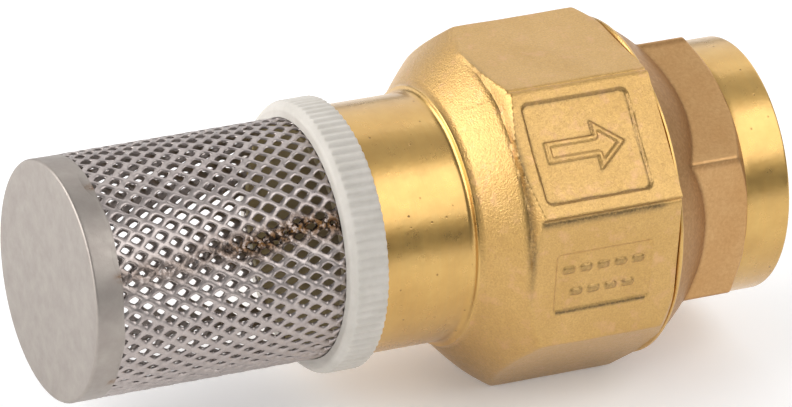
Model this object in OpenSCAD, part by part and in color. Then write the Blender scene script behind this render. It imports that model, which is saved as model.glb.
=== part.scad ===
// Foot valve for a G 1 suction pipe: a sprung check valve with a screw-on strainer.
// Water enters through the strainer at -X and leaves along +X. The origin is the centre
// of the outlet mouth, and the valve lies on one flat of its octagonal body, with +Z up.

/* [Outlet body] */
// Diameter of the turned outlet end
outlet_d = 40.6; // [39:0.1:40.8]
// Length of the turned outlet end
outlet_end_l = 7.7; // [6:0.1:9]
// Distance across the flats of the hexagon
hex_af = 41; // [41:0.5:44]
// Turn of the hexagon, as it stops when it is screwed home
hex_turn = -3; // [-30:1:30]
// Visible length of the outlet body, from the joint to its mouth
outlet_l = 23.1; // [22.5:0.1:25]

/* [Octagonal body] */
// Distance across the flats of the octagon
body_af = 53.2; // [52.5:0.1:54]
// Length of the forged body, from the neck to the joint
body_l = 31.7; // [31:0.1:34]
// Height of the raised pad on the front upper flat
pad_h = 0.75; // [0.5:0.1:1.2]
// Depth of the sunk panels on the two marked flats
panel_depth = 0.35; // [0.2:0.05:0.4]

/* [Neck] */
// Diameter of the turned inlet neck
neck_d = 39.5; // [38.5:0.1:40.5]
// Length of the turned inlet neck
neck_l = 15.5; // [15:0.1:17]

/* [Pipe thread] */
// Radius of the G 1 thread root, where the threaded bores are cut
thread_root_r = 16.65; // [16.65:0.01:16.7]
// Depth of the outlet thread
outlet_thread_l = 14; // [12:0.5:14]
// Depth of the inlet thread
inlet_thread_l = 13; // [12.5:0.1:13.5]

/* [Check valve] */
// Radius of the throat behind the seat
throat_r = 12.5; // [12.3:0.1:12.8]
// Lift of the poppet off its seat
lift = 8; // [6:0.5:8]
// Diameter of the spring wire
wire_d = 1.1; // [0.8:0.1:1.2]
// Number of turns of the spring
spring_turns = 8; // [6:1:9]

/* [Strainer] */
// Outer diameter of the sieve tube
sieve_d = 38; // [37.6:0.1:38]
// Visible length of the sieve tube
sieve_l = 37; // [20:0.5:80]
// Diameter of the end cap
cap_d = 38.2; // [38.2:0.1:38.8]
// Length of the end cap's skirt
cap_l = 4.7; // [4:0.1:7]
// Diameter of the ribbed collar, over its ribs
collar_d = 43.2; // [42.6:0.1:44]
// Length of the ribbed collar
collar_l = 6.25; // [6:0.05:8]
// Number of ribs round the collar
collar_ribs = 92; // [60:1:100]

/* [Hidden] */
$fn = 96;

brass = "goldenrod";
turned_brass = "gold";
steel = "silver";
nylon = "whitesmoke";
acetal = "ivory";
nitrile = "dimgray";

// Stations along the valve, from the outlet mouth towards the strainer
hex_end_x = -outlet_end_l;
joint_x = -outlet_l;
neck_x = joint_x - body_l;
inlet_x = neck_x - neck_l;
seated_gap = 0.05;
collar_back_x = inlet_x - seated_gap;
collar_front_x = collar_back_x - collar_l;
cap_rim_x = collar_front_x - sieve_l;
cap_face_x = cap_rim_x - cap_l;

// Forged outer shape
flat_r = body_af / 2;
corner_r = flat_r / cos(22.5);
flat_w = 2 * flat_r * tan(22.5);
neck_r = neck_d / 2;
neck_lip = 0.75;
shoulder_base_r = 20.8;
shoulder_lead = 0.7;
shoulder_l = 10.2;
shoulder_bow = 0.3;
pad_lead = 1.3;
pad_start = 5.5;
pad_margin = 0.45;
pad_corner_r = norm([flat_r + pad_h, flat_w / 2 - pad_margin]) + 0.1;
pad_root_h = flat_r / 4;
joint_r = 27.1;
joint_chamfer_l = 1.8;

// Sunk panels on the pad and on the front flat, and the arrow that shows the flow
pad_turn = 45;
front_turn = 0;
panel_mid_x = joint_x - 13.7;
panel_l = 18.4;
panel_w = 16.8;
panel_corner = 1.6;
small_panel_mid_x = joint_x - 12.9;
small_panel_l = 16.6;
small_panel_w = 9.8;
small_panel_corner = 0.6;
arrow_l = 13.5;
arrow_w = 7.6;
arrow_shaft_w = 3.2;
arrow_head_l = 4.7;

// Outlet body's outer shape
hex_corner_r = hex_af / 2 / cos(30);
outlet_r = outlet_d / 2;
flange_r = joint_r - 0.1;
flange_l = 0.8;
outlet_shoulder_l = 8.25;
outlet_shoulder_bow = 0.5;
hex_end_r = outlet_r + 0.35;
hex_chamfer_l = 1.6;

// Screwed joint between the two bodies
spigot_r = 23.9;
spigot_l = 11.1;
spigot_wall = 2.9;
spigot_gap = 0.05;
ring_wire_r = 0.9;
ring_r = 23.15;
ring_x = joint_x - 1.5;
groove_half_l = 1.2;
groove_r = 22.2;
counterbore_r = 24.1;
counterbore_l = 4.1;

// Seat and cavity inside the octagonal body
throat_x = inlet_x + inlet_thread_l;
seat_x = neck_x + 3.8;
seat_lip_h = 1.2;
seat_lip_w = 1.1;
floor_r = 17.5;
cavity_r = 23.3;
cavity_cone_l = 5;

// Guide and spring
shelf_x = -20;
shelf_r = 18;
guide_t = 2.5;
guide_x = shelf_x - guide_t;
guide_r = spigot_r - spigot_wall - 0.05;
hub_r = 5.9;
hub_front_x = guide_x - 4.5;
hub_back_x = guide_x + 4.5;
stem_r = 3;
running_gap = 0.05;
spring_r = 7;
spring_flange_r = 8.2;
web_t = 2.2;
web_count = 3;

// Poppet
contact_gap = 0.02;
seal_t = 2;
seal_r = 15.6;
seal_front_x = seat_x + contact_gap;
disc_front_x = seal_front_x + seal_t;
disc_r = 16.5;
disc_t = 4;
disc_edge_l = 1.4;
disc_bevel = 1.7;
spring_rim_w = 1.2;
spring_rim_h = 1.3;
spring_rim_foot = 0.3;
spring_rim_gap = 0.5;
disc_back_x = disc_front_x + disc_t;
sleeve_r = 5.6;
stop_gap = 0.5;
sleeve_end_x = hub_front_x - lift - stop_gap;
stem_neck_r = 2.6;
stem_hole_r = stem_neck_r + 0.02;
stem_front_x = seat_x - 11;
stem_back_x = hub_back_x + 1;
stem_chamfer = 0.5;
retainer_r = throat_r - 1.1;
retainer_t = 1.6;
retainer_boss_r = 5.9;
retainer_boss_l = 2.4;
retainer_front_x = seal_front_x - retainer_t;
wing_t = 1.6;
wing_count = 4;
wing_r = throat_r - 0.3;
wing_inner_r = 6.4;
wing_end_gap = 0.5;
nut_af = 10;
nut_t = 5;

// Strainer
spigot_core_r = 15.1;
strainer_spigot_l = 12;
strainer_bore_r = 13;
sieve_t = 0.55;
sieve_grip_l = 3;
sheet_t = 0.5;
cap_edge_r = 0.4;
fit_gap = 0.05;
rib_h = 0.35;
rib_root_share = 0.32;
rib_tip_share = 0.14;
bore_lip_w = 1.2;
collar_edge = 1.2;

// Bore of the outlet
outlet_land_r = throat_r + 2;
outlet_land_l = 2;
mouth_chamfer = 0.5;

// How far solids run into each other, and how far a cut runs past what it cuts
eps = 0.01;
past = 1;

// A solid turned about the X axis from an outline of [radius, station] points
module turned(outline) {
    rotate([0, 90, 0]) rotate_extrude() polygon(outline);
}

// A round bar along X, from one station to another
module bar(radius, from_x, to_x, sides = $fn) {
    translate([from_x, 0, 0]) rotate([0, 90, 0])
        cylinder(r = radius, h = to_x - from_x, $fn = sides);
}

// A tube along X
module tube(outer_r, inner_r, from_x, to_x) {
    difference() {
        bar(outer_r, from_x, to_x);
        bar(inner_r, from_x - past, to_x + past);
    }
}

// Points of an arc from a to b, which stands proud of its chord by rise
function bow(a, b, rise, steps = 10) =
    let (
        along = (b - a) / norm(b - a),
        side = [along[1], -along[0]],
        half_chord = norm(b - a) / 2,
        radius = (half_chord * half_chord + rise * rise) / (2 * rise),
        half_angle = asin(half_chord / radius),
        centre = (a + b) / 2 - side * (radius - rise)
    )
    [for (i = [0:steps])
        let (angle = half_angle * (2 * i / steps - 1))
        centre + radius * (side * cos(angle) + along * sin(angle))];

// Places its children on a flat of the body: the flat's outward normal becomes +Z,
// and turn is the flat's place round the axis, counted from -Y towards +Z
module on_flat(turn) {
    rotate([90 - turn, 0, 0]) translate([0, 0, flat_r]) children();
}

// A plate with round corners, centred on x_mid, length along X
module plate(x_mid, length, width, corner, height) {
    translate([x_mid, 0, 0]) linear_extrude(height) union() {
        square([length - 2 * corner, width], center = true);
        square([length, width - 2 * corner], center = true);
        for (sx = [-1, 1], sy = [-1, 1])
            translate([sx * (length / 2 - corner), sy * (width / 2 - corner)])
                circle(corner, $fn = 32);
    }
}

// The arrow that shows the flow, as a flat shape pointing along +X
module flow_arrow() {
    barb_x = arrow_l / 2 - arrow_head_l;
    polygon([
        [-arrow_l / 2, -arrow_shaft_w / 2],
        [barb_x, -arrow_shaft_w / 2],
        [barb_x, -arrow_w / 2],
        [arrow_l / 2, 0],
        [barb_x, arrow_w / 2],
        [barb_x, arrow_shaft_w / 2],
        [-arrow_l / 2, arrow_shaft_w / 2]
    ]);
}

// The turned envelope of the octagonal body, from its shoulder to the joint
module body_envelope(lead) {
    edge_l = joint_chamfer_l * (pad_corner_r - joint_r) / (corner_r - joint_r);
    turned(concat(
        [[0, neck_x]],
        bow([shoulder_base_r, neck_x + shoulder_lead - lead],
            [pad_corner_r, neck_x + shoulder_l - lead], shoulder_bow),
        [[pad_corner_r, joint_x - edge_l], [joint_r, joint_x], [0, joint_x]]
    ));
}

// The outside of the forging: the neck, the octagon and the raised pad on one flat
module forged_outside() {
    intersection() {
        body_envelope(0);
        rotate([22.5, 0, 0]) bar(corner_r, inlet_x, joint_x + past, 8);
    }
    intersection() {
        body_envelope(pad_lead);
        on_flat(pad_turn) translate([neck_x + pad_start, -flat_w / 2 + pad_margin, -pad_root_h])
            cube([body_l - pad_start, flat_w - 2 * pad_margin, pad_root_h + pad_h]);
    }
    turned([
        [0, inlet_x],
        [neck_r, inlet_x],
        [neck_r, neck_x - neck_lip],
        [neck_r + neck_lip, neck_x],
        [neck_r + neck_lip, neck_x + shoulder_lead + past],
        [0, neck_x + shoulder_lead + past]
    ]);
}

// Everything cut out of the inlet body along its axis
module inlet_passage() {
    bar(thread_root_r, inlet_x - past, throat_x);
    bar(throat_r, throat_x - past, seat_x + past);
    turned([
        [0, seat_x],
        [throat_r + seat_lip_w, seat_x],
        [throat_r + seat_lip_w + seat_lip_h, seat_x - seat_lip_h],
        [floor_r, seat_x - seat_lip_h],
        [cavity_r, seat_x - seat_lip_h + cavity_cone_l],
        [cavity_r, joint_x],
        [0, joint_x]
    ]);
    bar(spigot_r + spigot_gap, joint_x - spigot_l - stop_gap, joint_x + past);
    bar(counterbore_r, joint_x - counterbore_l, joint_x + past);
}

module inlet_body() {
    color(brass) difference() {
        forged_outside();
        inlet_passage();
        on_flat(pad_turn) translate([0, 0, pad_h - panel_depth]) difference() {
            plate(panel_mid_x, panel_l, panel_w, panel_corner, past);
            translate([panel_mid_x, 0, -eps]) linear_extrude(panel_depth + eps)
                flow_arrow();
        }
        on_flat(front_turn) translate([0, 0, -panel_depth])
            plate(small_panel_mid_x, small_panel_l, small_panel_w, small_panel_corner, past);
    }
}

module outlet_body() {
    color(turned_brass) difference() {
        union() {
            turned(concat(
                [[0, joint_x], [flange_r, joint_x]],
                bow([flange_r, joint_x + flange_l],
                    [outlet_r - 0.1, joint_x + outlet_shoulder_l], outlet_shoulder_bow),
                [[0, joint_x + outlet_shoulder_l]]
            ));
            intersection() {
                rotate([hex_turn, 0, 0]) bar(hex_corner_r, joint_x + past, hex_end_x, 6);
                turned([
                    [0, joint_x],
                    [hex_corner_r + past, joint_x],
                    [hex_corner_r + past, hex_end_x - hex_chamfer_l],
                    [hex_corner_r, hex_end_x - hex_chamfer_l],
                    [hex_end_r, hex_end_x],
                    [0, hex_end_x]
                ]);
            }
            bar(outlet_r, hex_end_x - past, 0);
            bar(spigot_r, joint_x - spigot_l, joint_x + past);
        }
        tube(spigot_r + past, groove_r, ring_x - groove_half_l, ring_x + groove_half_l);
        bar(spigot_r - spigot_wall, joint_x - spigot_l - past, shelf_x);
        turned([
            [0, shelf_x - past],
            [shelf_r, shelf_x - past],
            [shelf_r, shelf_x],
            [outlet_land_r, -outlet_thread_l - outlet_land_l],
            [outlet_land_r, -outlet_thread_l + past],
            [0, -outlet_thread_l + past]
        ]);
        bar(thread_root_r, -outlet_thread_l, past);
        turned([
            [0, -mouth_chamfer],
            [thread_root_r, -mouth_chamfer],
            [thread_root_r + 2 * mouth_chamfer, mouth_chamfer],
            [0, mouth_chamfer]
        ]);
    }
}

module body_o_ring() {
    color(nitrile) translate([ring_x, 0, 0]) rotate([0, 90, 0]) rotate_extrude()
        translate([ring_r, 0]) circle(ring_wire_r, $fn = 32);
}

module stem_guide() {
    color(acetal) difference() {
        union() {
            tube(guide_r, shelf_r, guide_x, shelf_x);
            bar(hub_r, hub_front_x, hub_back_x);
            bar(spring_flange_r, guide_x, shelf_x);
            for (i = [0:web_count - 1])
                rotate([i * 360 / web_count, 0, 0])
                    translate([guide_x, -web_t / 2, 0])
                        cube([guide_t, web_t, (shelf_r + guide_r) / 2]);
        }
        bar(stem_r + running_gap, hub_front_x - past, hub_back_x + past);
    }
}

// Station of the spring wire's centre after a number of turns: the end turns lie flat
function spring_x(turn) =
    let (
        first = disc_back_x + contact_gap + wire_d / 2,
        last = guide_x - contact_gap - wire_d / 2,
        pitch = (last - first - 2 * wire_d) / (spring_turns - 2)
    )
    turn < 1 ? first + turn * wire_d
    : turn > spring_turns - 1 ? last - (spring_turns - turn) * wire_d
    : first + wire_d + (turn - 1) * pitch;

module return_spring() {
    steps = 20;
    sides = 8;
    rings = spring_turns * steps;
    points = [for (i = [0:rings], j = [0:sides - 1])
        let (
            turn = i / steps,
            round_wire = j * 360 / sides,
            r = spring_r + wire_d / 2 * cos(round_wire)
        )
        [spring_x(turn) + wire_d / 2 * sin(round_wire), r * cos(turn * 360), r * sin(turn * 360)]];
    walls = [for (i = [0:rings - 1], j = [0:sides - 1])
        let (k = (j + 1) % sides)
        [i * sides + j, i * sides + k, (i + 1) * sides + k, (i + 1) * sides + j]];
    ends = [
        [for (j = [sides - 1:-1:0]) j],
        [for (j = [0:sides - 1]) rings * sides + j]
    ];
    color(steel) polyhedron(points = points, faces = concat(walls, ends));
}

module poppet_disc() {
    rim_inner_r = spring_r + wire_d / 2 + spring_rim_gap;
    rim_outer_r = rim_inner_r + spring_rim_w;
    color(acetal) turned([
        [stem_hole_r, disc_front_x],
        [disc_r, disc_front_x],
        [disc_r, disc_front_x + disc_edge_l],
        [disc_r - disc_bevel, disc_front_x + disc_edge_l + disc_bevel],
        [rim_outer_r + spring_rim_foot, disc_back_x],
        [rim_outer_r, disc_back_x + spring_rim_h],
        [rim_inner_r, disc_back_x + spring_rim_h],
        [rim_inner_r, disc_back_x],
        [sleeve_r, disc_back_x],
        [sleeve_r, sleeve_end_x],
        [stem_hole_r, sleeve_end_x]
    ]);
}

module poppet_seal() {
    color(nitrile) tube(seal_r, retainer_boss_r + fit_gap, seal_front_x, disc_front_x);
}

module seal_retainer() {
    wing_l = seal_front_x - stem_front_x - wing_end_gap;
    color(acetal) difference() {
        union() {
            bar(retainer_r, retainer_front_x, seal_front_x);
            bar(retainer_boss_r, retainer_front_x - retainer_boss_l, disc_front_x);
            for (i = [0:wing_count - 1])
                rotate([45 + i * 360 / wing_count, 0, 0])
                    translate([stem_front_x, -wing_t / 2, wing_inner_r])
                        cube([wing_l, wing_t, wing_r - wing_inner_r]);
        }
        bar(stem_hole_r, stem_front_x - past, disc_front_x + past);
    }
}

module guide_stem() {
    color(steel) union() {
        bar(stem_neck_r, stem_front_x, sleeve_end_x + eps);
        turned([
            [0, sleeve_end_x],
            [stem_r, sleeve_end_x],
            [stem_r, stem_back_x - stem_chamfer],
            [stem_r - stem_chamfer, stem_back_x],
            [0, stem_back_x]
        ]);
    }
}

module stem_nut() {
    nut_back_x = retainer_front_x - retainer_boss_l;
    color(steel) difference() {
        bar(nut_af / 2 / cos(30), nut_back_x - nut_t, nut_back_x, 6);
        bar(stem_hole_r, nut_back_x - nut_t - past, nut_back_x + past);
    }
}

// Outline of the collar's rim, seen along the axis: one shallow rib after another
function rib_outline() =
    let (
        step = 360 / collar_ribs,
        tip_r = collar_d / 2,
        root_r = tip_r - rib_h,
        rib = [
            [-rib_root_share, root_r],
            [-rib_tip_share, tip_r],
            [rib_tip_share, tip_r],
            [rib_root_share, root_r]
        ]
    )
    [for (i = [0:collar_ribs - 1], p = rib)
        p[1] * [cos((i + p[0]) * step), sin((i + p[0]) * step)]];

module strainer_collar() {
    sieve_r = sieve_d / 2;
    collar_r = collar_d / 2;
    lip_r = sieve_r - sieve_t - bore_lip_w;
    color(nylon) difference() {
        union() {
            intersection() {
                translate([collar_front_x, 0, 0]) rotate([0, 90, 0])
                    linear_extrude(collar_l) polygon(rib_outline());
                turned([
                    [0, collar_front_x],
                    [collar_r - collar_edge, collar_front_x],
                    [collar_r + 0.1, collar_front_x + collar_edge + 0.1],
                    [collar_r + 0.1, collar_back_x],
                    [0, collar_back_x]
                ]);
            }
            bar(spigot_core_r, collar_back_x - eps, collar_back_x + strainer_spigot_l);
        }
        tube(sieve_r + fit_gap, sieve_r - sieve_t - fit_gap,
             collar_front_x - past, collar_front_x + sieve_grip_l + fit_gap);
        bar(strainer_bore_r, collar_front_x - past, collar_back_x + strainer_spigot_l + past);
        turned([
            [0, collar_front_x - eps],
            [lip_r, collar_front_x - eps],
            [strainer_bore_r - eps, collar_front_x + lip_r - strainer_bore_r],
            [0, collar_front_x + lip_r - strainer_bore_r]
        ]);
    }
}

module strainer_sieve() {
    color(steel) tube(sieve_d / 2, sieve_d / 2 - sieve_t,
                      cap_face_x + sheet_t + fit_gap, collar_front_x + sieve_grip_l);
}

module strainer_end_cap() {
    cap_r = cap_d / 2;
    inner_r = sieve_d / 2 + fit_gap;
    color(steel) turned(concat(
        [[0, cap_face_x]],
        bow([cap_r - cap_edge_r, cap_face_x], [cap_r, cap_face_x + cap_edge_r],
            cap_edge_r * (1 - cos(45)), 4),
        [[cap_r, cap_rim_x], [inner_r, cap_rim_x]],
        [[inner_r, cap_face_x + sheet_t], [0, cap_face_x + sheet_t]]
    ));
}

inlet_body();
outlet_body();
body_o_ring();
stem_guide();
return_spring();
poppet_disc();
poppet_seal();
seal_retainer();
guide_stem();
stem_nut();
strainer_collar();
strainer_sieve();
strainer_end_cap();
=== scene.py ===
import math

import bpy
import numpy as np
from mathutils import Matrix, Vector


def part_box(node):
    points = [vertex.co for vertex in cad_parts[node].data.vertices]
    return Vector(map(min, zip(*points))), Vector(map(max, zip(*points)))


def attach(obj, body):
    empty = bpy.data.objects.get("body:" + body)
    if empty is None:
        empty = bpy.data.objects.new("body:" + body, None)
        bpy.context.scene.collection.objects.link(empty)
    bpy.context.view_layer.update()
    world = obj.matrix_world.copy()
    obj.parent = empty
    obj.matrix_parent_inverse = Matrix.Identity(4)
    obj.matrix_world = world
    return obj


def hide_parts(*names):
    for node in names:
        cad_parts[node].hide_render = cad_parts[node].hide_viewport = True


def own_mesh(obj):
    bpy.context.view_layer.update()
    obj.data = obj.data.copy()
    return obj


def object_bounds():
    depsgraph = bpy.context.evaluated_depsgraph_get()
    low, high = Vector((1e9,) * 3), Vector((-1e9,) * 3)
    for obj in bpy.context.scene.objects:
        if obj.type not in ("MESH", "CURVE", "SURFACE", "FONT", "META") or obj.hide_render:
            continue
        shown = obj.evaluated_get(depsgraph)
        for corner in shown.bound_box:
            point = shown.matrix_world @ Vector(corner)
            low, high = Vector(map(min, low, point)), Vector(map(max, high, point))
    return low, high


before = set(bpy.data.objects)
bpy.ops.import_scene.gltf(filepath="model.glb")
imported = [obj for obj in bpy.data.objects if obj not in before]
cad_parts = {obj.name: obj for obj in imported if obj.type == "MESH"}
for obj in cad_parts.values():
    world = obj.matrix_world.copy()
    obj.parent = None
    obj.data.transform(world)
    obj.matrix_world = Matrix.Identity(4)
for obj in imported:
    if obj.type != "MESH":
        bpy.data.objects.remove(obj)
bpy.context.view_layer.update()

# The foot valve's looks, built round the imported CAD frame. Lengths inside this file are in
# millimetres until a mesh is made, and the valve's axis is X, with the outlet at +X.
# An angle round the axis is counted from -Y (0 degrees) towards +Z (90 degrees).

MM = 0.001
RANDOM = np.random.default_rng(7)


def span(node, axis=0):
    """Lowest and highest place of a CAD node along one axis, in millimetres."""
    low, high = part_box(node)
    return low[axis] / MM, high[axis] / MM


# ------------------------ sizes, from the frame
INLET_X, JOINT_X = span("inlet_body")
SPIGOT_END_X, MOUTH_X = span("outlet_body")
FLAT_R = -span("inlet_body", 2)[0]
FLANGE_R = span("outlet_body", 2)[1]
COLLAR_FRONT_X, COLLAR_SPIGOT_X = span("strainer_collar")
COLLAR_R = span("strainer_collar", 2)[1]
SIEVE_LOW_X, SIEVE_HIGH_X = span("strainer_sieve")
SIEVE_R = span("strainer_sieve", 2)[1]
CAP_FACE_X, CAP_RIM_X = span("strainer_end_cap")
CAP_R = span("strainer_end_cap", 2)[1]

# Pipe thread: the ridge's section is in shares of its pitch and of its height
THREAD_ROOT_R = 16.65
THREAD_CREST_R = 15.25
THREAD_PITCH = 2.309
THREAD_MOUTH_L = 0.9
RIDGE_SECTION = ((-0.40, 0.0), (-0.07, 0.94), (0.0, 1.0), (0.07, 0.94), (0.40, 0.0), (0.0, -0.08))

# Inlet body: the turned neck and the passage
NECK_L = 15.5
NECK_X = INLET_X + NECK_L
NECK_R = 19.75
NECK_EDGE_R = 0.35
NECK_FILLET_R = 0.95
THROAT_X = INLET_X + 13.0
THROAT_R = 12.5
SEAT_X = NECK_X + 3.8
SEAT_LIP_H = 1.2
SEAT_LIP_W = 1.15
SEAT_FLOOR_R = 17.5
CAVITY_R = 23.3
CAVITY_CONE_L = 5.0
COUNTERBORE_R = 24.1
COUNTERBORE_L = 4.1
SPIGOT_BORE_L = 11.6

# Inlet body: the forging between the neck and the joint
SHOULDER_R = 20.8
SHOULDER_LEAD = 0.7
SHOULDER_L = 10.2
SHOULDER_BOW = 0.41
SHOULDER_TOP_R = 29.86
JOINT_R = 27.1
JOINT_BEVEL_L = 2.94
JOINT_EDGE = 0.75
OCTAGON_SHARPNESS = 260
WIDEST_TILT = 60.0

# The marked side: the pad, the flat above it, and the valley where the front facets start
PAD_ANGLE = 45.0
PAD_REACH = 40.0
PAD_H = 0.75
PAD_HALF_W = 10.57
PAD_LEAD = 1.3
TOP_ANGLE = 90.0
VALLEY_X = NECK_X + 6.4
VALLEY_R = 26.5
VALLEY_DROP = 4.0
VALLEY_GROOVE = 0.22
VALLEY_FADES_IN = (-12, 14)
VALLEY_FADES_OUT = (84, 100)
FACET_RISE = 1.8
FACET_CORNERS = (67.5, 22.5)

# How far the forging's meeting surfaces are rounded into each other
SHOULDER_SOFT = 0.3
VALLEY_SOFT = 0.2
END_SOFT = 0.4
PAD_SOFT = 0.35
PAD_TOP_SOFT = 0.5
PAD_FOOT_SOFT = 0.3

# The pad's panel with its arrow, and the front plate with its rows of bars: place across the
# flat, station of the first bar from the plate's middle, number of bars
PANEL = dict(mid=JOINT_X - 13.7, length=18.4, width=16.8, corner=1.3, depth=0.5)
ARROW = dict(length=13.5, width=8.2, shaft_w=3.4, head_l=5.084)
ARROW_H = 0.34
ARROW_HOLLOW = 0.26
PLATE = dict(mid=JOINT_X - 12.9, length=16.6, width=10.2, corner=0.6, depth=0.26)
PLATE_REACH = 24.0
BAR = dict(pitch=3.0, half_l=1.05, half_w=0.6, corner=0.5, height=0.26, tint=0.42)
BAR_ROWS = ((2.0, -6.0, 5), (-2.0, -4.5, 4))

# Outlet body
OUTLET_R = 20.3
OUTLET_EDGE_R = 0.4
OUTLET_THREAD_L = 14.0
OUTLET_LAND_R = 14.5
OUTLET_LAND_L = 2.0
FLANGE_L = 0.8
CONE_L = 8.25
CONE_START_R = FLANGE_R - 0.5
CONE_END_R = OUTLET_R - 0.15
CONE_BOW = 0.55
HEX_END_X = MOUTH_X - 7.7
HEX_HALF_AF = 20.5
HEX_TURN = 3.0
HEX_SHARPNESS = 150
HEX_END_R = OUTLET_R + 0.3
HEX_END_SLOPE = 1.35
SHELF_X = -20.0
SHELF_R = 18.0
SPIGOT_R = 23.9
SPIGOT_BORE_R = 21.0
SPIGOT_EDGE = 0.3
RING_GROOVE_R = 22.2
RING_GROOVE_NEAR_X = JOINT_X - 0.3
RING_GROOVE_FAR_X = JOINT_X - 2.7

# Strainer collar
COLLAR_BACK_X = INLET_X - 0.05
COLLAR_RIBS = 92
COLLAR_RIB_H = 0.26
COLLAR_CORE_R = 15.1
COLLAR_BORE_R = 13.0
COLLAR_LIP_W = 1.2
COLLAR_NOSE_R = 1.1
SIEVE_GROOVE_L = 3.05

# Strainer sieve: diamond-like cells, longest along the valve
SIEVE_T = 0.55
SIEVE_END_MARGIN = 1.8
HOLES_ROUND = 45
HOLE_PITCH = 1.94
HOLE_HALF_L = 0.96
HOLE_HALF_W = 0.64
HOLE_POWER = 1.3
CELL_SIDE_U = 0.24
STRAND_LEAN = 0.22
SEAM_ANGLES = (25.0, 37.0)
# Rings of a sieve cell from its hole to its border: share of the way, height, side of the sheet
STRAND_RINGS = [
    (0.0, 0.0, 1), (0.2, 0.62, 1), (0.55, 0.93, 1), (1.0, 1.0, 1),
    (0.2, 0.62, -1), (0.55, 0.93, -1), (1.0, 1.0, -1),
]
STRAND_STRIPS = ((0, 1), (1, 2), (2, 3), (4, 0), (5, 4), (6, 5))
OUTER_BORDER, INNER_BORDER = 3, 6
# Points in one cell of a grid, so many to the millimetre, are one; the shift avoids its lines
WELD_GRID = 400
WELD_SHIFT = 0.137

# Strainer cap
CAP_SHEET = 0.5
CAP_EDGE_R = 0.45
CAP_DISH = 0.12
CAP_DISH_R = 17.0
CAP_SPOTS = (28, 75, -30, 150, 215)

# Spring
WIRE_R = 0.55
COIL_R = 7.0
SPRING_TURNS = 8

# Soft lights: direction from the valve, distance and size in metres, power in watts
LIGHTS = {
    "key_light": dict(direction=(0.41, -0.58, 0.7), distance=0.8, width=0.8, height=0.6, power=2.9),
    "side_light": dict(direction=(-0.84, 0.24, 0.42), distance=0.85, width=1.1, height=0.6, power=8.5),
    "back_light": dict(direction=(0.35, 0.78, 0.52), distance=1.1, width=1.7, height=1.0, power=5.2),
    "right_fill": dict(direction=(0.93, 0.3, 0.2), distance=0.9, width=0.8, height=0.5, power=0.8),
    "top_light": dict(direction=(0.38, 0.04, 0.92), distance=0.9, width=1.1, height=0.8, power=1.0),
}
SKY_COLOUR = (0.93, 0.95, 1.0, 1.0)
SKY_STRENGTH = 0.22

# Camera: angles in degrees, distance in metres, lens and film in millimetres. It aims at a
# place on the axis, moved across and up in the picture.
CAMERA = dict(azimuth=27.23, elevation=28.84, roll=4.03, distance=1.2506, lens=363.6, film_w=36)
AIM_X = (CAP_FACE_X + MOUTH_X) / 2 - 4.15
AIM_ACROSS = 3.84
AIM_UP = 3.31


# ------------------------ shape helpers
def soft_min(a, b, width):
    """The lower of two surfaces, with their meeting edge rounded over width."""
    closeness = np.clip(1 - np.abs(a - b) / width, 0, None)
    return np.minimum(a, b) - closeness**2 * width / 4


def soft_max(a, b, width):
    return -soft_min(-a, -b, width)


def ease(value, start, end):
    """0 before start, 1 after end, smooth between."""
    t = np.clip((value - start) / (end - start), 0, 1)
    return t * t * (3 - 2 * t)


def hump(distance, width):
    """A bell curve: 1 at no distance, next to nothing a few widths away."""
    return np.exp(-((distance / width) ** 2))


def arch(t):
    """A parabola: 1 halfway, 0 at both ends."""
    return 4 * t * (1 - t)


def ripple(x, angle, scale, seed):
    """Smooth unevenness around 0, within about 1, over stations and degrees."""
    source = np.random.default_rng(seed)
    total = 0
    for turns, weight in ((1, 0.4), (2, 0.3), (3, 0.3)):
        lobes = int(source.integers(3, 9)) * turns
        phase, shift = source.uniform(0, 2 * math.pi, 2)
        place = lobes * np.radians(angle) + x / scale * turns
        total = total + weight * np.sin(place + phase + shift)
    return total


def prism_r(angle, sides, half_af, turn, sharpness):
    """Radius of a regular prism with slightly rounded corners; a flat faces turn degrees."""
    total = 0
    for k in range(sides):
        facing = np.cos(np.radians(angle - turn - 360 / sides * k))
        total = total + np.clip(facing, 1e-3, None) ** sharpness
    return half_af / total ** (1 / sharpness)


def box_distance(u, v, half_u, half_v, corner):
    """Signed distance to a rectangle with round corners, negative inside."""
    du = np.abs(u) - half_u + corner
    dv = np.abs(v) - half_v + corner
    outside = np.hypot(np.clip(du, 0, None), np.clip(dv, 0, None))
    return outside + np.minimum(np.maximum(du, dv), 0) - corner


def outline_distance(u, v, corners):
    """Signed distance to a polygon, negative inside."""
    best = np.full(np.shape(u), 1e9)
    inside = np.zeros(np.shape(u), bool)
    for (u0, v0), (u1, v1) in zip(corners, corners[1:] + corners[:1]):
        du, dv = u1 - u0, v1 - v0
        along = np.clip(((u - u0) * du + (v - v0) * dv) / (du * du + dv * dv), 0, 1)
        best = np.minimum(best, np.hypot(u - u0 - along * du, v - v0 - along * dv))
        if dv:
            crosses = (v0 > v) != (v1 > v)
            inside ^= crosses & (u < u0 + (v - v0) * du / dv)
    return np.where(inside, -best, best)


def arrow_outline(length, width, shaft_w, head_l):
    """A plain arrow that points along +u, centred on the origin."""
    barb = length / 2 - head_l
    return [
        (-length / 2, -shaft_w / 2), (barb, -shaft_w / 2), (barb, -width / 2),
        (length / 2, 0), (barb, width / 2), (barb, shaft_w / 2), (-length / 2, shaft_w / 2),
    ]


def arc(centre, radius, start, end, steps):
    """Points [x, r] of an arc in the section plane; angles in degrees from +x."""
    turns = np.radians(np.linspace(start, end, steps + 1))
    return [(centre[0] + radius * math.cos(t), centre[1] + radius * math.sin(t)) for t in turns]


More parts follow.
